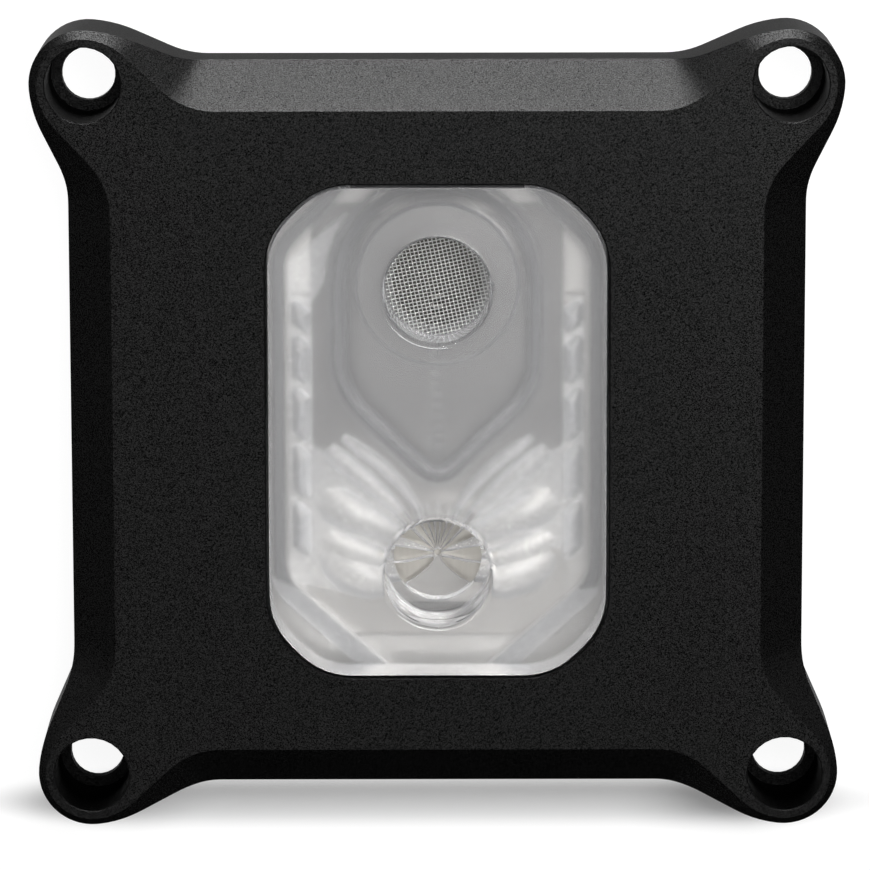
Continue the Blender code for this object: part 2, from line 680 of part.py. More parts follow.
def make_flow_body():
    """One clear block, milled from underneath: inlet chamber, fan of channels, collectors and seal groove."""
    shape = loft(
        [
            level(flange_outline(0), BODY_UNDERSIDE),
            level(flange_outline(0), FLANGE_TOP),
            level(window_outline(-FIT_GAP), FLANGE_TOP),
            level(window_outline(-FIT_GAP), FRAME_TOP - PLUG_CHAMFER),
            level(window_outline(-FIT_GAP - PLUG_CHAMFER), FRAME_TOP),
        ]
    )
    body = make_object("flow_body", shape, frosted_acrylic, sharp_angle=30)

    below = BODY_UNDERSIDE - OVERSHOOT
    groove_half = SEAL_RADIUS + FIT_GAP
    groove_roof = BODY_UNDERSIDE + 2 * groove_half - FIT_GAP
    groove_outside = prism(seal_outline(groove_half), below, groove_roof)
    groove = make_cutter("seal groove", groove_outside)
    island = make_cutter("seal island", prism(seal_outline(-groove_half), below - OVERSHOOT, groove_roof + OVERSHOOT))
    cut(groove, island)

    wall_top = BODY_UNDERSIDE + CHAMBER_HEIGHT - CHAMBER_ROOF_RADIUS
    rings = [level(chamber_outline(0), below)]
    for step in range(CHAMBER_ROOF_STEPS + 1):
        turn = math.pi / 2 * step / CHAMBER_ROOF_STEPS
        inset = CHAMBER_ROOF_RADIUS * (1 - math.cos(turn))
        rings.append(level(chamber_outline(-inset), wall_top + CHAMBER_ROOF_RADIUS * math.sin(turn)))
    rebate_width = CHAMBER_SEAL_OFFSET + CHAMBER_SEAL_RADIUS + FIT_GAP
    rebate_roof = BODY_UNDERSIDE + 2 * CHAMBER_SEAL_RADIUS + FIT_GAP
    rebate = prism(chamber_outline(rebate_width), below, rebate_roof)
    chamber_roof = BODY_UNDERSIDE + CHAMBER_HEIGHT
    recess_profile = [
        (0, chamber_roof - OVERSHOOT),
        (ROOF_RECESS_RADIUS, chamber_roof - OVERSHOOT),
        (ROOF_RECESS_RADIUS, chamber_roof - ROOF_RECESS_SLOPE / 4),
        (ROOF_RECESS_RADIUS - ROOF_RECESS_SLOPE, chamber_roof + ROOF_RECESS_DEPTH),
        (0, chamber_roof + ROOF_RECESS_DEPTH),
    ]

    inlet_seat = FRAME_TOP - INLET_SEAT_DEPTH
    mouth = PORT_MOUTH_RADIUS - PORT_RADIUS
    inlet_profile = [
        (0, chamber_roof - OVERSHOOT),
        (INLET_THROAT_RADIUS, chamber_roof - OVERSHOOT),
        (INLET_THROAT_RADIUS, inlet_seat),
        (PORT_RADIUS, inlet_seat),
        (PORT_RADIUS, FRAME_TOP - mouth),
        (PORT_MOUTH_RADIUS + OVERSHOOT, FRAME_TOP + OVERSHOOT),
        (0, FRAME_TOP + OVERSHOOT),
    ]
    outlet_floor = BODY_UNDERSIDE + OUTLET_FLOOR
    thread_foot = FRAME_TOP - OUTLET_THREAD_DEPTH
    outlet_profile = [
        (0, outlet_floor),
        (OUTLET_THROAT_RADIUS, outlet_floor),
        (OUTLET_THROAT_RADIUS, thread_foot - (PORT_RADIUS - OUTLET_THROAT_RADIUS)),
        (PORT_RADIUS, thread_foot),
        (PORT_RADIUS, FRAME_TOP - mouth),
        (PORT_MOUTH_RADIUS + OVERSHOOT, FRAME_TOP + OVERSHOOT),
        (0, FRAME_TOP + OVERSHOOT),
    ]
    cut(
        body,
        groove,
        make_cutter("chamber", loft(rings)),
        make_cutter("chamber rebate", rebate),
        make_cutter("roof recess", turned(recess_profile, ROOF_RECESS_STEPS, (0, PORT_OFFSET))),
        *collector_cutters(),
        *fan_cutters(),
        make_cutter("inlet port", turned(inlet_profile, PORT_STEPS, (0, PORT_OFFSET))),
        make_cutter("outlet port", turned(outlet_profile, PORT_STEPS, (0, -PORT_OFFSET))),
    )


def make_seals():
    main_height = PLATE_TOP + FIT_GAP + SEAL_RADIUS
    main_seal = swept_ring(seal_outline(0), SEAL_RADIUS, main_height, 8)
    make_object("main_seal", main_seal, rubber, sharp_angle=80)
    chamber_height = PLATE_TOP + FIT_GAP + CHAMBER_SEAL_RADIUS
    chamber_seal = swept_ring(chamber_outline(CHAMBER_SEAL_OFFSET), CHAMBER_SEAL_RADIUS, chamber_height, 6)
    make_object("chamber_seal", chamber_seal, rubber, sharp_angle=80)


def make_cold_plate():
    """Nickel-plated copper: the raised pedestal underneath touches the processor, and the fins are cut in the top."""
    corners = rectangle(PLATE_HALF_X, PLATE_HALF_Y)
    radii = [PLATE_CORNER_RADIUS] * 4
    edge = grown_outline(corners, radii, 0, 6)
    inner_edge = grown_outline(corners, radii, -PLATE_EDGE_CHAMFER, 6)
    pedestal_corners = rectangle(PEDESTAL_HALF, PEDESTAL_HALF)
    pedestal_radii = [PEDESTAL_RADIUS] * 4
    pedestal_edge = grown_outline(pedestal_corners, pedestal_radii, 0, 6)
    pedestal_face = grown_outline(pedestal_corners, pedestal_radii, -PLATE_EDGE_CHAMFER, 6)
    shape = loft(
        [
            level(pedestal_face, 0),
            level(pedestal_edge, PLATE_EDGE_CHAMFER),
            level(pedestal_edge, PLATE_UNDERSIDE),
            level(inner_edge, PLATE_UNDERSIDE),
            level(edge, PLATE_UNDERSIDE + PLATE_EDGE_CHAMFER),
            level(edge, PLATE_TOP - PLATE_EDGE_CHAMFER),
            level(inner_edge, PLATE_TOP),
        ]
    )
    plate = make_object("cold_plate", shape, nickel, sharp_angle=30)

    fin_top = PLATE_TOP - JET_THICKNESS - FIT_GAP
    jet_bed = grown_outline(rectangle(JET_HALF_X, JET_HALF_Y), [JET_CORNER_RADIUS] * 4, FIT_GAP, 3)
    slots = []
    for number in range(FIN_SLOT_COUNT):
        middle = (number - (FIN_SLOT_COUNT - 1) / 2) * FIN_PITCH
        slot = rectangle(FIN_SLOT_HALF_LENGTH, FIN_SLOT_WIDTH / 2)
        slot = [(x, y + middle) for x, y in slot]
        slots.append(prism(slot, fin_top - FIN_HEIGHT, PLATE_TOP + OVERSHOOT))
    hole_radius = SCREW_RADIUS + FIT_GAP
    sink_radius = SCREW_HEAD_RADIUS + FIT_GAP
    sink_top = PLATE_UNDERSIDE + SCREW_RIM + sink_radius - hole_radius
    sink_profile = [
        (0, PLATE_UNDERSIDE - OVERSHOOT / 4),
        (sink_radius, PLATE_UNDERSIDE - OVERSHOOT / 4),
        (sink_radius, PLATE_UNDERSIDE + SCREW_RIM),
        (hole_radius, sink_top),
        (hole_radius, PLATE_TOP + OVERSHOOT),
        (0, PLATE_TOP + OVERSHOOT),
    ]
    sinks = joined([turned(sink_profile, SCREW_STEPS, place) for place in screw_places()])
    cut(
        plate,
        make_cutter("jet plate bed", prism(jet_bed, fin_top, PLATE_TOP + OVERSHOOT)),
        make_cutter("fin slots", joined(slots)),
        make_cutter("countersinks", sinks),
    )


def make_jet_plate():
    edge = rounded_outline(rectangle(JET_HALF_X, JET_HALF_Y), [JET_CORNER_RADIUS] * 4, 3)
    plate = make_object("jet_plate", prism(edge, PLATE_TOP - JET_THICKNESS, PLATE_TOP), stainless)
    low, high = JET_SLOT_ENDS
    corners = [(JET_SLOT_HALF, low), (JET_SLOT_HALF, high), (-JET_SLOT_HALF, high), (-JET_SLOT_HALF, low)]
    round_ends = rounded_outline(corners, [JET_SLOT_END_RADIUS] * 4, 4)
    cut(plate, make_cutter("jet slot", prism(round_ends, PLATE_TOP - OVERSHOOT, PLATE_TOP + OVERSHOOT)))


def make_inlet_filter():
    """A disc of mesh on the step in the inlet port. Its wires are drawn as a grid of square openings."""
    seat = FRAME_TOP - INLET_SEAT_DEPTH + FIT_GAP
    rim = arc((0, PORT_OFFSET), FILTER_RADIUS, 0, 2 * math.pi, 36)[:-1]
    disc = make_object("inlet_filter", prism(rim, seat, seat + FILTER_THICKNESS), stainless)
    reach = int(FILTER_RADIUS / FILTER_PITCH)
    openings = []
    for column in range(-reach, reach + 1):
        for row in range(-reach, reach + 1):
            x, y = column * FILTER_PITCH, row * FILTER_PITCH
            if math.hypot(abs(x) + FILTER_GAP / 2, abs(y) + FILTER_GAP / 2) > FILTER_RADIUS - FILTER_RIM:
                continue
            square = [(x + a, y + b + PORT_OFFSET) for a, b in rectangle(FILTER_GAP / 2, FILTER_GAP / 2)]
            openings.append(prism(square, seat - OVERSHOOT, seat + FILTER_THICKNESS + OVERSHOOT))
    cut(disc, make_cutter("mesh openings", joined(openings)))


def make_plate_screws():
    foot = PLATE_UNDERSIDE
    cone_top = foot + SCREW_RIM + SCREW_HEAD_RADIUS - SCREW_RADIUS
    tip = foot + SCREW_LENGTH
    profile = [
        (0, foot),
        (SCREW_HEAD_RADIUS, foot),
        (SCREW_HEAD_RADIUS, foot + SCREW_RIM),
        (SCREW_RADIUS, cone_top),
        (SCREW_RADIUS, tip - SCREW_RADIUS / 3),
        (SCREW_RADIUS * 2 / 3, tip),
        (0, tip),
    ]
    for number, place in enumerate(screw_places(), 1):
        screw = make_object(f"plate_screw_{number}", turned(profile, SCREW_STEPS, place), dark_steel)
        hexagon = arc(place, SCREW_SOCKET_RADIUS, 0, 2 * math.pi, 6)[:-1]
        socket = prism(hexagon, foot - OVERSHOOT, foot + SCREW_SOCKET_DEPTH)
        cut(screw, make_cutter(f"hex socket {number}", socket))


cutter_finish = material("cutter", (0.8, 0.2, 0.2), 0.5)
black_anodised = material("black_anodised", (0.012, 0.012, 0.013), 0.45, metallic=0.9)
frosted_acrylic = material("frosted_acrylic", (0.92, 0.92, 0.91), 0.25, transmission=1.0)
nickel = material("nickel", (0.72, 0.70, 0.66), 0.22, metallic=1.0)
stainless = material("stainless", (0.66, 0.66, 0.65), 0.28, metallic=1.0)
rubber = material("rubber", (0.03, 0.03, 0.03), 0.6)
dark_steel = material("dark_steel", (0.05, 0.05, 0.055), 0.4, metallic=1.0)

make_mounting_frame()
make_flow_body()
make_seals()
make_cold_plate()
make_jet_plate()
make_inlet_filter()
make_plate_screws()
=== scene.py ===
# %% [markdown]
# # A processor water block
# The block is already built as exact solids: a black mounting frame, a clear flow body, a nickel-plated
# cold plate and the small pieces between them. This lesson gives each piece the surface that the real one
# has, weaves the filter, cuts the port threads, and lights the whole for a picture. It starts by loading
# the solids as a fixed frame. Each node's place is in its mesh, in metres, with +Z up through the ports.

# %% Load the solids
import json
import math

import bmesh
import bpy
from mathutils import Matrix, Vector

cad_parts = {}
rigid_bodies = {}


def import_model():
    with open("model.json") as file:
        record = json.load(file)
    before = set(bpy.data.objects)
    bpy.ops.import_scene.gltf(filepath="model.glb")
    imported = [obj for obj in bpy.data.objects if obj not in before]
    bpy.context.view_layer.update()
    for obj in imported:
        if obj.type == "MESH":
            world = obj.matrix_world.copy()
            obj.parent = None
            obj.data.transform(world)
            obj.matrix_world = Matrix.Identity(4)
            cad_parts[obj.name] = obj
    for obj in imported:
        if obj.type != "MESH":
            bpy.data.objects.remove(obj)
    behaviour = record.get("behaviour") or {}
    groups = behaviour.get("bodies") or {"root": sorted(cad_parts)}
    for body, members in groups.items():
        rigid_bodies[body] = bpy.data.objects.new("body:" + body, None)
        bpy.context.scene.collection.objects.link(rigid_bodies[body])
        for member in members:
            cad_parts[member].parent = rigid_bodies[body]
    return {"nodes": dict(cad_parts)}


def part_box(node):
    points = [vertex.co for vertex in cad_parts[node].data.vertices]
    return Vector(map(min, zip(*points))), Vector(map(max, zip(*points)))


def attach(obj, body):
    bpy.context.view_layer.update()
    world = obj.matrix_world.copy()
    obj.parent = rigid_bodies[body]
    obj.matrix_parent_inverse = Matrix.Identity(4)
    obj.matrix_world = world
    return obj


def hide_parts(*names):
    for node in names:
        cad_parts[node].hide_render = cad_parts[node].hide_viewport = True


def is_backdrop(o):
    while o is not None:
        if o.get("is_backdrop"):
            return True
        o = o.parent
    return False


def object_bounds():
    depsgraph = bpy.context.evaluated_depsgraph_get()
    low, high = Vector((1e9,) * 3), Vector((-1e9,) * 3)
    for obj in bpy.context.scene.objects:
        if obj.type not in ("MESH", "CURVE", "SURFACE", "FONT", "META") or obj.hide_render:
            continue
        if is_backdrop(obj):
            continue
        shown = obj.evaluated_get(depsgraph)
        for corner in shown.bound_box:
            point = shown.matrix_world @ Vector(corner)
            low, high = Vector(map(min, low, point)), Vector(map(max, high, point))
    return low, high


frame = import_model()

MM = 0.001
cad_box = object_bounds()
size_mm = [round((high - low) / MM, 1) for low, high in zip(*cad_box)]
print("solids:", len(frame["nodes"]), "nodes,", size_mm, "mm")

# %% [markdown]
# ## Camera
# The picture is taken with a long lens from over half a metre away, almost straight down, so the sides
# hardly spread. The camera could be aimed with a Track To constraint, but a constraint leaves no room for a
# trace of roll. So it is placed by turning the world in front of it: first the tilt, then the roll. The
# rows of that turn are the camera's own axes, and its transpose stands the camera up in the scene.

# %% Place the camera
frame_top = cad_box[1].z
LENS_MM = 229.6
SENSOR_MM = 36.0
DISTANCE = 617.2 * MM
TILT = math.radians(10.672)
ROLL = math.radians(0.10)
AIM = Vector((0.28 * MM, 0.13 * MM, 0.0))

turn = Matrix.Rotation(ROLL, 3, "Z") @ Matrix.Rotation(TILT, 3, "X")
stand = turn.transposed() @ (Vector((0, 0, DISTANCE)) - AIM) + Vector((0, 0, frame_top))
lens = bpy.data.cameras.new("camera")
lens.lens = LENS_MM
lens.sensor_width = SENSOR_MM
lens.clip_start = 10 * MM
camera = bpy.data.objects.new("camera", lens)
camera.matrix_world = Matrix.Translation(stand) @ turn.transposed().to_4x4()
bpy.context.scene.collection.objects.link(camera)
bpy.context.scene.camera = camera
print("camera at", [round(x / MM) for x in stand], "mm")

# %% [markdown]
# ## Floor, sky and lamps
# Metal and clear plastic show their surroundings more than their own colour, so the surroundings come
# first. The light of the sky is a soft dome, bright overhead like a ceiling softbox and dim at the horizon.
# The eye, and everything shiny or clear, sees the sky and the floor as white paper. More light would whiten
# the paper too, but the block with it. So the floor glows, and only the eye and mirrored or bent rays see
# its glow. It glows less in a soft band past the outlet side, which fades out at both ends, so that the
# block's shadow there can be seen.

# %% Node helpers
def add(tree, kind, **settings):
    node = tree.nodes.new(kind)
    for key, value in settings.items():
        setattr(node, key, value)
    return node


def put(tree, value, socket):
    """Links an output to a socket, or writes a plain value in it."""
    if isinstance(value, bpy.types.NodeSocket):
        tree.links.new(value, socket)
    else:
        socket.default_value = value


def maths(tree, operation, first, second=0.0, third=0.0):
    node = add(tree, "ShaderNodeMath", operation=operation)
    for socket, value in zip(node.inputs, (first, second, third)):
        put(tree, value, socket)
    return node.outputs[0]


def blend_colours(tree, factor, first, second):
    node = add(tree, "ShaderNodeMix", data_type="RGBA")
    put(tree, factor, node.inputs[0])
    put(tree, first, node.inputs[6])
    put(tree, second, node.inputs[7])
    return node.outputs[2]


def ramp_value(tree, value, start, end, low=0.0, high=1.0):
    node = add(tree, "ShaderNodeMapRange", interpolation_type="SMOOTHSTEP")
    for socket, item in zip(node.inputs, (value, start, end, low, high)):
        put(tree, item, socket)
    return node.outputs[0]


def seen_directly(tree):
    """1 for the eye and for what metal and glass show it, 0 for the light that falls on things."""
    path = add(tree, "ShaderNodeLightPath")
    mirrored = maths(tree, "MAXIMUM", path.outputs["Is Glossy Ray"], path.outputs["Is Transmission Ray"])
    return maths(tree, "MAXIMUM", path.outputs["Is Camera Ray"], mirrored)


print("helpers: add, put, maths, blend_colours, ramp_value, seen_directly")

# %% Sky
ZENITH = (0.42, 0.42, 0.42, 1)
HORIZON = (0.06, 0.06, 0.06, 1)
WHITE = (1, 1, 1, 1)
DOME_FROM, DOME_TO = 0.1, 0.95

world = bpy.data.worlds.new("studio")
bpy.context.scene.world = world
world.use_nodes = True
sky = world.node_tree
sky.nodes.clear()
up = add(sky, "ShaderNodeSeparateXYZ")
sky.links.new(add(sky, "ShaderNodeTexCoord").outputs["Generated"], up.inputs[0])
height = ramp_value(sky, up.outputs["Z"], DOME_FROM, DOME_TO)
dome = blend_colours(sky, height, HORIZON, ZENITH)
background = add(sky, "ShaderNodeBackground")
put(sky, blend_colours(sky, seen_directly(sky), dome, WHITE), background.inputs["Color"])
sky.links.new(background.outputs[0], add(sky, "ShaderNodeOutputWorld").inputs[0])
bpy.context.scene.view_settings.view_transform = "Standard"
print("sky: grey", ZENITH[0], "overhead and", HORIZON[0], "at the horizon, white to the eye")

# %% Floor
FLOOR_HALF = 1.5
FLOOR_GAP = 0.05 * MM

sheet = bmesh.new()
bmesh.ops.create_grid(sheet, x_segments=1, y_segments=1, size=FLOOR_HALF)
bmesh.ops.translate(sheet, verts=sheet.verts, vec=(0, 0, cad_box[0].z - FLOOR_GAP))
floor_mesh = bpy.data.meshes.new("floor")
sheet.to_mesh(floor_mesh)
sheet.free()
floor = bpy.data.objects.new("floor", floor_mesh)
bpy.context.scene.collection.objects.link(floor)
floor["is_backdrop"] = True
print("floor:", 2 * FLOOR_HALF, "m square,", FLOOR_GAP / MM, "mm under the block")

# %% Paper that glows to the eye
FLOOR_COLOUR = (0.9, 0.9, 0.9, 1)
GLOW_STRENGTH = 1.2
GLOW_SHARE = 0.75
SHADOW_SHARE = 0.03
SHADOW_ENDS = (34 * MM, 64 * MM)
outlet_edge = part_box("mounting_frame")[0].y
SHADOW_FROM = outlet_edge + 3.7 * MM
SHADOW_MIDDLE = outlet_edge - 1.6 * MM
SHADOW_TO = outlet_edge - 6.6 * MM

paper = bpy.data.materials.new("paper")
paper.use_nodes = True
tree = paper.node_tree
tree.nodes.clear()
matt = add(tree, "ShaderNodeBsdfDiffuse")
matt.inputs["Color"].default_value = FLOOR_COLOUR
glow = add(tree, "ShaderNodeEmission")
glow.inputs["Strength"].default_value = GLOW_STRENGTH
spot = add(tree, "ShaderNodeSeparateXYZ")
tree.links.new(add(tree, "ShaderNodeTexCoord").outputs["Object"], spot.inputs[0])
near = ramp_value(tree, spot.outputs["Y"], SHADOW_MIDDLE, SHADOW_FROM)
far = ramp_value(tree, spot.outputs["Y"], SHADOW_MIDDLE, SHADOW_TO)
ends = ramp_value(tree, maths(tree, "ABSOLUTE", spot.outputs["X"]), *SHADOW_ENDS)
open_floor = maths(tree, "ADD", maths(tree, "ADD", near, far), ends)
share = ramp_value(tree, open_floor, 0.0, 1.0, SHADOW_SHARE, GLOW_SHARE)
mix = add(tree, "ShaderNodeMixShader")
put(tree, maths(tree, "MULTIPLY", seen_directly(tree), share), mix.inputs[0])
tree.links.new(matt.outputs[0], mix.inputs[1])
tree.links.new(glow.outputs[0], mix.inputs[2])
tree.links.new(mix.outputs[0], add(tree, "ShaderNodeOutputMaterial").inputs[0])
floor_mesh.materials.append(paper)
print("shadow band from", round(SHADOW_FROM / MM, 1), "to", round(SHADOW_TO / MM, 1), "mm along Y")


# %% Lamps
def softbox(name, place, size, watts):
    """An area lamp that faces the block."""
    lamp = bpy.data.lights.new(name, "AREA")
    lamp.shape = "RECTANGLE"
    lamp.size, lamp.size_y = size
    lamp.energy = watts
    holder = bpy.data.objects.new(name, lamp)
    away = Vector(place)
    facing = away.to_track_quat("Z", "Y")
    holder.matrix_world = Matrix.Translation(away) @ facing.to_matrix().to_4x4()
    bpy.context.scene.collection.objects.link(holder)
    holder.visible_camera = False
    return holder


softbox("high window", (0.09, 0.14, 0.40), (0.24, 0.18), 1.3)
softbox("low strip", (0.0, 0.35, 0.017), (0.30, 0.03), 3.6)
print("lit by a dome and two softboxes on the inlet side")

# %% [markdown]
# ## Shared surface effects
# Blasting with fine beads leaves a skin of tiny dents that sparkle. Several pieces have it at different
# sizes, so it is a node group with the grain's size as an input. A second group draws the fine parallel
# marks of lapping, milling and rolling: the same noise, stretched along Y. Both put out a height for the
# bump and a mask that varies colour and roughness. A picture of the grain could do the same, but noise has
# no seams and stays sharp at any distance.

# %% Blasted grain
def new_group(name, numbers, outputs):
    group = bpy.data.node_groups.new(name, "ShaderNodeTree")
    for label, value in numbers.items():
        socket = group.interface.new_socket(label, in_out="INPUT", socket_type="NodeSocketFloat")
        socket.default_value = value
    for label in outputs:
        group.interface.new_socket(label, in_out="OUTPUT", socket_type="NodeSocketFloat")
    return group, add(group, "NodeGroupInput"), add(group, "NodeGroupOutput")


blasted, inside, outside = new_group("blasted grain", {"Grain": 0.15 * MM}, ("Height", "Speckle"))
place = add(blasted, "ShaderNodeTexCoord").outputs["Object"]
for label, coarser, detail in (("Height", 1.0, 1.0), ("Speckle", 1.7, 2.0)):
    noise = add(blasted, "ShaderNodeTexNoise")
    noise.inputs["Detail"].default_value = detail
    blasted.links.new(place, noise.inputs["Vector"])
    per_metre = maths(blasted, "DIVIDE", coarser, inside.outputs["Grain"])
    blasted.links.new(per_metre, noise.inputs["Scale"])
    blasted.links.new(noise.outputs[0], outside.inputs[label])
print("group:", blasted.name)

# %% Fine parallel marks
MARK_SIZES = {"Spacing": 0.2 * MM, "Length": 6 * MM}

drawn, inside, outside = new_group("drawn marks", MARK_SIZES, ("Height", "Streak"))
split = add(drawn, "ShaderNodeSeparateXYZ")
drawn.links.new(add(drawn, "ShaderNodeTexCoord").outputs["Object"], split.inputs[0])
across = maths(drawn, "DIVIDE", split.outputs["X"], inside.outputs["Spacing"])
along = maths(drawn, "DIVIDE", split.outputs["Y"], inside.outputs["Length"])
stretched = add(drawn, "ShaderNodeCombineXYZ")
for socket, value in zip(stretched.inputs, (across, along, 0.0)):
    put(drawn, value, socket)
for label, coarser in (("Height", 1.0), ("Streak", 0.3)):
    noise = add(drawn, "ShaderNodeTexNoise")
    noise.inputs["Scale"].default_value = coarser
    noise.inputs["Detail"].default_value = 3.0
    drawn.links.new(stretched.outputs[0], noise.inputs["Vector"])
    drawn.links.new(noise.outputs[0], outside.inputs[label])
print("group:", drawn.name)

# %% [markdown]
# ## Metals and rubber
# The frame is aluminium, bead blasted and dyed black: a metal with almost no colour left, whose sparkle
# comes from the grain. The cold plate is copper under bright nickel, lapped flat below and duller on the
# side with the fins, where its darker colour is painted shade. Jet plate and mesh are stainless steel, and
# the screws are black oxide. The seals are matt rubber. They could be seven separate node trees, but they
# differ only in numbers, so one function makes them all.

# %% Helpers for finishes
MASK_FROM, MASK_TO = 0.3, 0.7


def bump(tree, height, rise):
    node = add(tree, "ShaderNodeBump")
    node.inputs["Distance"].default_value = rise
    tree.links.new(height, node.inputs["Height"])
    return node.outputs[0]


def new_finish(name):
    finish = bpy.data.materials.new(name)
    finish.use_nodes = True
    return finish, finish.node_tree, finish.node_tree.nodes["Principled BSDF"]


def effect(tree, group, **numbers):
    node = add(tree, "ShaderNodeGroup", node_tree=group)
    for label, value in numbers.items():
        node.inputs[label].default_value = value
    return node


def textured_finish(name, dark, light, smooth, rough, group, rise, metallic=1.0, edge=1.0, **numbers):
    """Colour and roughness follow the effect's mask, and an edge below 1 dims the shine at flat angles."""
    finish, tree, shader = new_finish(name)
    pattern = effect(tree, group, **numbers)
    mask = ramp_value(tree, pattern.outputs[1], MASK_FROM, MASK_TO)
    put(tree, blend_colours(tree, mask, (*dark, 1), (*light, 1)), shader.inputs["Base Color"])
    put(tree, ramp_value(tree, mask, 0.0, 1.0, smooth, rough), shader.inputs["Roughness"])
    put(tree, bump(tree, pattern.outputs[0], rise), shader.inputs["Normal"])
    shader.inputs["Metallic"].default_value = metallic
    shader.inputs["Specular Tint"].default_value = (edge, edge, edge, 1)
    return finish


print("helpers: bump, new_finish, effect, textured_finish")

# %% Metal and rubber finishes
anodised = textured_finish(
    "blasted black", (0.0003, 0.0003, 0.0003), (0.019, 0.019, 0.019), 0.34, 0.46,
    blasted, 0.02 * MM, edge=0.3, Grain=0.2 * MM,
)
nickel = textured_finish(
    "lapped nickel", (0.70, 0.68, 0.645), (0.74, 0.72, 0.685), 0.22, 0.30,
    drawn, 0.0005 * MM, Spacing=0.3 * MM,
)
# The finned side is rougher than the lapped side, and its darker colour is painted shade.
finned = textured_finish(
    "finned nickel", (0.48, 0.465, 0.435), (0.50, 0.485, 0.455), 0.42, 0.46,
    drawn, 0.0002 * MM, Spacing=0.3 * MM,
)
stainless = textured_finish(
    "stainless sheet", (0.46, 0.44, 0.405), (0.49, 0.47, 0.435), 0.30, 0.34,
    drawn, 0.0002 * MM, Spacing=0.2 * MM,
)
bright_wire = textured_finish(
    "bright wire", (0.78, 0.78, 0.77), (0.86, 0.86, 0.85), 0.25, 0.35,
    blasted, 0.0005 * MM, Grain=0.1 * MM,
)
rubber = textured_finish(
    "seal rubber", (0.02, 0.02, 0.02), (0.04, 0.04, 0.04), 0.5, 0.7,
    blasted, 0.01 * MM, metallic=0.0, Grain=0.2 * MM,
)
black_oxide = textured_finish(
    "black oxide", (0.035, 0.035, 0.037), (0.07, 0.07, 0.072), 0.3, 0.45,
    blasted, 0.005 * MM, Grain=0.1 * MM,
)
opaque = (anodised, nickel, finned, stainless, bright_wire, rubber, black_oxide)
print("finishes:", ", ".join(finish.name for finish in opaque))

# %% [markdown]
# ## Painted shade under the inlet
# Through the acrylic, the metal under the inlet is darker than the metal round the outlet. That darkness is
# painted shade, on the jet sheet and on the fins under the sheet's slot. A ramp along one of the block's
# axes rises softly from 0 to 1, and where all of a shade's ramps have risen, the finish has the shade's
# colour.
# The shade could be painted on the vertices, but the jet sheet has too few of them for a soft change.

# %% Paint shade on the jet sheet and the fins
# Painted shade: the darker colours of the jet sheet towards the inlet and of the fins under its slot.
JET_PAINTED_SHADE = (0.09, 0.085, 0.078, 1)
FIN_PAINTED_SHADE = (0.05, 0.047, 0.043, 1)


def paint_shade(finish, colour, *ramps):
    """Paints shade: turns a finish's colour to another one where all the ramps along the block's axes have
    risen.
    """
    tree = finish.node_tree
    shader = tree.nodes["Principled BSDF"]
    spot = add(tree, "ShaderNodeSeparateXYZ")
    tree.links.new(add(tree, "ShaderNodeTexCoord").outputs["Object"], spot.inputs[0])
    share = 1.0
    for axis, start, end in ramps:
        way = maths(tree, "ABSOLUTE", spot.outputs[axis]) if axis == "X" else spot.outputs[axis]
        share = maths(tree, "MULTIPLY", share, ramp_value(tree, way, start, end))
    unshaded_colour = shader.inputs["Base Color"].links[0].from_socket
    put(tree, blend_colours(tree, share, unshaded_colour, colour), shader.inputs["Base Color"])


# Painted shade: the jet sheet darkens towards the inlet, and the fins darken under the sheet's slot.
paint_shade(stainless, JET_PAINTED_SHADE, ("Y", -20 * MM, 2 * MM))
paint_shade(finned, FIN_PAINTED_SHADE, ("X", 8 * MM, 2 * MM), ("Y", -22 * MM, -14 * MM))
print("the jet sheet darkens towards the inlet, the fins under its slot")

# %% [markdown]
# ## Clear acrylic
# The flow body is one block of clear acrylic with five kinds of surface. Its top face is blasted, so what
# lies under it is seen softened. The hollows milled in its underside keep a dull skin of tool marks. The
# inlet chamber's roof is greyer than they are, which is painted shade. Its steep wall lets little through
# and is painted dark, a painted shade that draws the chamber's outline. The ports are turned and threaded,
# and stay the clearest. Each kind is a glass-like shader that is cloudy to some degree: what the surface
# doesn't let through it scatters back. A volume could do the clouding, but it is slow and the cloud is on
# the skin only. Lamps shine through to the metal underneath, because shadow rays see the plastic as
# partly transparent.

# %% Acrylic finishes
ACRYLIC_BEND = 1.49
LAMPS_THROUGH = 0.6
COOL_CAST = 0.01
UNEVEN = 0.06


def clear_finish(name, clearness, rough, grain, rise, tint):
    """Acrylic that lets through the given share of light and scatters the rest."""
    finish, tree, shader = new_finish(name)
    shader.inputs["Base Color"].default_value = (tint, tint, tint + COOL_CAST, 1)
    shader.inputs["Transmission Weight"].default_value = clearness
    shader.inputs["IOR"].default_value = ACRYLIC_BEND
    pattern = effect(tree, blasted, Grain=grain)
    smooth_spot, rough_spot = rough * (1 - UNEVEN), rough * (1 + UNEVEN)
    varied = ramp_value(tree, pattern.outputs[1], MASK_FROM, MASK_TO, smooth_spot, rough_spot)
    put(tree, varied, shader.inputs["Roughness"])
    if rise:
        put(tree, bump(tree, pattern.outputs[0], rise), shader.inputs["Normal"])
    clear = add(tree, "ShaderNodeBsdfTransparent")
    let_through = add(tree, "ShaderNodeMixShader")
    shadow = add(tree, "ShaderNodeLightPath").outputs["Is Shadow Ray"]
    put(tree, maths(tree, "MULTIPLY", shadow, LAMPS_THROUGH), let_through.inputs[0])
    tree.links.new(shader.outputs[0], let_through.inputs[1])
    tree.links.new(clear.outputs[0], let_through.inputs[2])
    tree.links.new(let_through.outputs[0], tree.nodes["Material Output"].inputs[0])
    return finish


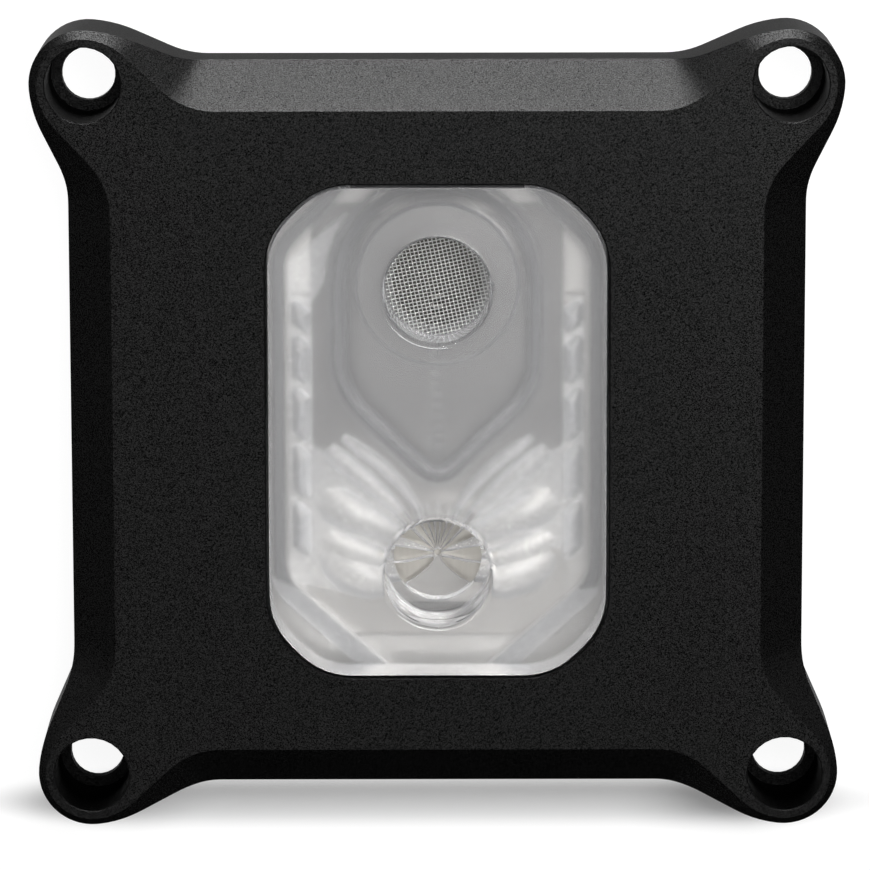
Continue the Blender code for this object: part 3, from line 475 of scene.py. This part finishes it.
frosted = clear_finish("frosted acrylic", 0.88, 0.24, 0.2 * MM, 0.001 * MM, 0.93)
milled = clear_finish("milled acrylic", 0.70, 0.26, 0.3 * MM, 0, 0.97)
turned = clear_finish("turned acrylic", 0.92, 0.07, 0.5 * MM, 0, 0.96)
# Painted shade: the chamber roof's grey tint and the chamber wall's dark tint.
roof_painted_shade = clear_finish("chamber roof", 0.86, 0.24, 0.3 * MM, 0, 0.75)
wall_painted_shade = clear_finish("chamber wall", 0.3, 0.4, 0.3 * MM, 0, 0.25)
acrylic = (frosted, milled, turned, roof_painted_shade, wall_painted_shade)
print("acrylic:", ", ".join(finish.name for finish in acrylic))

# %% [markdown]
# ## Dressing the solids
# The solids come as loose triangles. Each piece gets a merged copy whose flat faces are whole again, smooth
# on its round stretches and crisp at its edges. The edges could be rounded with a Bevel modifier, but the
# solids have their chamfers and radii already. Weighted normals let the large flat faces decide how light
# runs across them, so no long triangle shows.

# %% Helpers for copies
SAME_POINT = 0.001 * MM
FLAT = math.radians(0.4)


def show(shape, name, finishes, sharp_degrees=30):
    """Makes an object of a bmesh, smooth except at its edges, that rides with the block."""
    shape.normal_update()
    for face in shape.faces:
        face.smooth = True
    for edge in shape.edges:
        edge.smooth = edge.calc_face_angle(0.0) < math.radians(sharp_degrees)
    mesh = bpy.data.meshes.new(name)
    shape.to_mesh(mesh)
    shape.free()
    for finish in finishes:
        mesh.materials.append(finish)
    piece = bpy.data.objects.new(name, mesh)
    bpy.context.scene.collection.objects.link(piece)
    even = piece.modifiers.new("even shading", "WEIGHTED_NORMAL")
    even.keep_sharp = True
    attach(piece, "root")
    return piece


def merged(node):
    """The node's triangles with their shared points joined and its flat faces made whole."""
    shape = bmesh.new()
    shape.from_mesh(frame["nodes"][node].data)
    bmesh.ops.remove_doubles(shape, verts=shape.verts, dist=SAME_POINT)
    bmesh.ops.dissolve_limit(shape, angle_limit=FLAT, verts=shape.verts, edges=shape.edges)
    return shape


def dress(node, name, finish, sharp_degrees=30):
    piece = show(merged(node), name, [finish], sharp_degrees)
    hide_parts(node)
    return piece


print("helpers: show, merged, dress")

# %% Dressed copies
SCREWS = 10

blasted_frame = dress("mounting_frame", "blasted_frame", anodised, sharp_degrees=24)
lapped_plate = dress("cold_plate", "lapped_plate", nickel)
dressed = [
    blasted_frame,
    lapped_plate,
    dress("jet_plate", "jet_sheet", stainless),
    dress("main_seal", "round_seal", rubber, sharp_degrees=70),
    dress("chamber_seal", "thin_seal", rubber, sharp_degrees=70),
]
for number in range(1, SCREWS + 1):
    node, name = f"plate_screw_{number}", f"socket_screw_{number}"
    dressed.append(dress(node, name, black_oxide, sharp_degrees=35))
print("dressed", len(dressed), "pieces")

# %% Duller nickel, darkened by painted shade, on the finned side
PLATE_LOW, PLATE_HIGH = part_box("cold_plate")
plate_middle = (PLATE_LOW.z + PLATE_HIGH.z) / 2

lapped_plate.data.materials.append(finned)
finned_side = [face for face in lapped_plate.data.polygons if face.center.z > plate_middle]
for face in finned_side:
    face.material_index = 1
print("finned side:", len(finned_side), "faces")

# %% [markdown]
# ## Port threads
# Both ports have a pipe thread: a V groove that climbs round the bore by 1.337 mm a turn. A triangle is
# spun round the port's axis with a rise on every step, which makes one long twisted wedge, and a Boolean
# cuts it out of a copy of the flow body. It could be drawn as plain rings, but a true helix runs out at the
# mouth the way a tap leaves it.

# %% Cut the threads
PORT_RADIUS = 5.9 * MM
PORT_OFFSET = 16 * MM
THREAD_PITCH = 1.337 * MM
THREAD_DEPTH = 0.55 * MM
THREAD_BITE = 0.2 * MM
THREAD_STEPS = 40
HALF_GROOVE = THREAD_PITCH * 0.46
TURN_PAST_MOUTH = 0.25
INLET_THREAD = 6.1 * MM
OUTLET_THREAD = 7.4 * MM


def thread_wedge(centre_y, depth):
    """The twisted wedge that cuts one port's thread, from the given depth up past the mouth."""
    wedge = bmesh.new()
    foot = frame_top - depth
    corners = (
        (PORT_RADIUS - THREAD_BITE, foot - HALF_GROOVE),
        (PORT_RADIUS + THREAD_DEPTH, foot),
        (PORT_RADIUS - THREAD_BITE, foot + HALF_GROOVE),
    )
    rim = [wedge.verts.new((radius, centre_y, z)) for radius, z in corners]
    wedge.faces.new(rim)
    turns = depth / THREAD_PITCH + TURN_PAST_MOUTH
    bmesh.ops.spin(
        wedge,
        geom=wedge.verts[:] + wedge.edges[:] + wedge.faces[:],
        cent=(0, centre_y, 0),
        axis=(0, 0, 1),
        dvec=(0, 0, turns * THREAD_PITCH),
        angle=math.tau * turns,
        steps=round(turns * THREAD_STEPS),
    )
    bmesh.ops.recalc_face_normals(wedge, faces=wedge.faces)
    mesh = bpy.data.meshes.new("thread wedge")
    wedge.to_mesh(mesh)
    wedge.free()
    cutter = bpy.data.objects.new("thread wedge", mesh)
    bpy.context.scene.collection.objects.link(cutter)
    return cutter


def cut_away(shape, cutters):
    """The bmesh with each cutter's shape taken out of it."""
    mesh = bpy.data.meshes.new("blank")
    shape.to_mesh(mesh)
    shape.free()
    blank = bpy.data.objects.new("blank", mesh)
    bpy.context.scene.collection.objects.link(blank)
    for cutter in cutters:
        step = blank.modifiers.new("cut", "BOOLEAN")
        step.operation = "DIFFERENCE"
        step.object = cutter
    ready = blank.evaluated_get(bpy.context.evaluated_depsgraph_get())
    result = bmesh.new()
    result.from_mesh(ready.to_mesh())
    ready.to_mesh_clear()
    for used in (blank, *cutters):
        bpy.data.objects.remove(used)
    bmesh.ops.remove_doubles(result, verts=result.verts, dist=SAME_POINT)
    return result


wedges = [thread_wedge(PORT_OFFSET, INLET_THREAD), thread_wedge(-PORT_OFFSET, OUTLET_THREAD)]
threaded = cut_away(merged("flow_body"), wedges)
print("threaded flow body:", len(threaded.faces), "faces")

# %% [markdown]
# ## Faces of the flow body
# The five acrylic finishes go on one mesh: each face holds the number of its finish. In the editor they
# would be picked by hand. Here each face is sorted by where it lies: at the top, in a port, in the groove
# of the chamber's seal, in the chamber, or elsewhere. The groove gets the clear finish of the ports, so
# that the dark cord in it is seen. The chamber's outline is its seal's: a half circle round the inlet,
# straight sides, and a point towards the outlet.

# %% Sort the faces
TOP, MILLED, PORT, ROOF, WALL = range(len(acrylic))
SKIN = 0.3 * MM
PORT_FOOT = 5.7 * MM
PORT_REACH = PORT_RADIUS + 2 * THREAD_DEPTH
SEAL_LOW, SEAL_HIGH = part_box("chamber_seal")
GROOVE_TOP = SEAL_HIGH.z + 0.15 * MM
GROOVE_WIDTH = 0.6 * MM
CHAMBER_KINK = 3.5 * MM
TIP_SHIFT = 1.4
LEVEL = 0.6


def in_shield(point, inset):
    """True inside the chamber seal's shield-shaped outline, moved inwards by the inset."""
    half = SEAL_HIGH.x - inset
    tip = SEAL_LOW.y + inset * TIP_SHIFT
    if point.y > PORT_OFFSET:
        return math.hypot(point.x, point.y - PORT_OFFSET) < half
    return abs(point.x) < half * min((point.y - tip) / (CHAMBER_KINK - tip), 1)


def finish_number(face):
    """The number of the acrylic finish that a face of the flow body has."""
    middle = face.calc_center_median()
    off_axis = max(math.hypot(vert.co.x, abs(vert.co.y) - PORT_OFFSET) for vert in face.verts)
    if middle.z > frame_top - SKIN:
        return TOP
    if off_axis < PORT_REACH and middle.z > PORT_FOOT:
        return PORT
    if not in_shield(middle, 0):
        return MILLED
    if middle.z < GROOVE_TOP and not in_shield(middle, GROOVE_WIDTH):
        return PORT
    return ROOF if abs(face.normal.z) > LEVEL else WALL


tally = [0] * len(acrylic)
for face in threaded.faces:
    face.material_index = finish_number(face)
    tally[face.material_index] += 1
clear_body = show(threaded, "clear_body", acrylic, sharp_degrees=60)
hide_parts("flow_body")
print("top, milled, port, roof and wall faces:", tally)

# %% [markdown]
# ## Woven filter
# The mesh in the inlet is plain weave: each wire goes over one neighbour and under the next. A grid on a
# flat disc could be drawn with a bump, but the wires are seen from close by and their waves catch the
# light. A wire starts as a thin six-sided cylinder, is cut into short lengths and is bent into a wave, high
# where it passes over and low where it passes under. Two layers of such wires at right angles, one wave up
# where the other is down, make the cloth. Each wire is as long as the disc is wide there. The cloth is
# turned a little and creased along its middle, as the pressed disc in the port is.

# %% Wires
PITCH_ALONG = 0.45 * MM
PITCH_UP = 0.40 * MM
WIRE_RADIUS = 0.066 * MM
CRIMP = 1.4
WIRE_SIDES = 6
RINGS_PER_PITCH = 6
DISC_RADIUS = 5.80 * MM


def woven_wire(offset, flip, pitch):
    """One wire along X at its offset across the cloth, waved up and down round the wires it crosses."""
    length = 2 * math.sqrt(max(DISC_RADIUS**2 - offset**2, pitch**2))
    lay_down = Matrix.Translation((0, offset, 0)) @ Matrix.Rotation(math.pi / 2, 4, "Y")
    wire = bmesh.new()
    bmesh.ops.create_cone(
        wire,
        cap_ends=True,
        segments=WIRE_SIDES,
        radius1=WIRE_RADIUS,
        radius2=WIRE_RADIUS,
        depth=length,
        matrix=lay_down,
    )
    long_edges = [edge for edge in wire.edges if edge.calc_length() > 2 * WIRE_RADIUS]
    rings = max(round(length / pitch * RINGS_PER_PITCH), 1)
    bmesh.ops.subdivide_edges(wire, edges=long_edges, cuts=rings, use_grid_fill=True)
    for vert in wire.verts:
        vert.co.z += flip * CRIMP * WIRE_RADIUS * math.cos(math.pi * vert.co.x / pitch)
    return wire


def add_shape(whole, part):
    mesh = bpy.data.meshes.new("wire")
    part.to_mesh(mesh)
    part.free()
    whole.from_mesh(mesh)
    bpy.data.meshes.remove(mesh)


crossings = (round(PITCH_ALONG / MM, 2), round(PITCH_UP / MM, 2))
print("wires", round(2 * WIRE_RADIUS / MM, 3), "mm thick that cross every", crossings, "mm")

# %% Weave the filter
CLOTH_TURN = math.radians(12)
CREASE_SLOPE = 0.13
CREASE_RISE = 0.45 * MM
CLOTH_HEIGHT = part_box("inlet_filter")[1].z + CREASE_RISE

cloth = bmesh.new()
for turned_by, pitch, spacing in ((0, PITCH_ALONG, PITCH_UP), (math.pi / 2, PITCH_UP, PITCH_ALONG)):
    count = int(DISC_RADIUS / spacing)
    for number in range(-count, count + 1):
        flip = 1 if (number % 2 == 0) != (turned_by > 0) else -1
        wire = woven_wire(number * spacing, flip, pitch)
        bmesh.ops.rotate(wire, verts=wire.verts, matrix=Matrix.Rotation(turned_by + CLOTH_TURN, 3, "Z"))
        add_shape(cloth, wire)
for vert in cloth.verts:
    vert.co.z -= CREASE_SLOPE * abs(vert.co.x)
bmesh.ops.translate(cloth, verts=cloth.verts, vec=(0, PORT_OFFSET, CLOTH_HEIGHT))
print("woven filter:", len(cloth.faces), "faces")
filter_cloth = show(cloth, "woven_filter", [bright_wire], sharp_degrees=60)
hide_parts("inlet_filter")

# %% [markdown]
# ## Compare the size
# The dressed block must fill the same box as the solids. The two boxes are compared, and how far the
# dressed block reaches past the solids is printed.

# %% Compare the boxes
dressed_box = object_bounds()
grown = [round((dressed_box[1][axis] - cad_box[1][axis]) / MM, 3) for axis in range(3)]
print("the dressed block reaches past the solids by", grown, "mm")
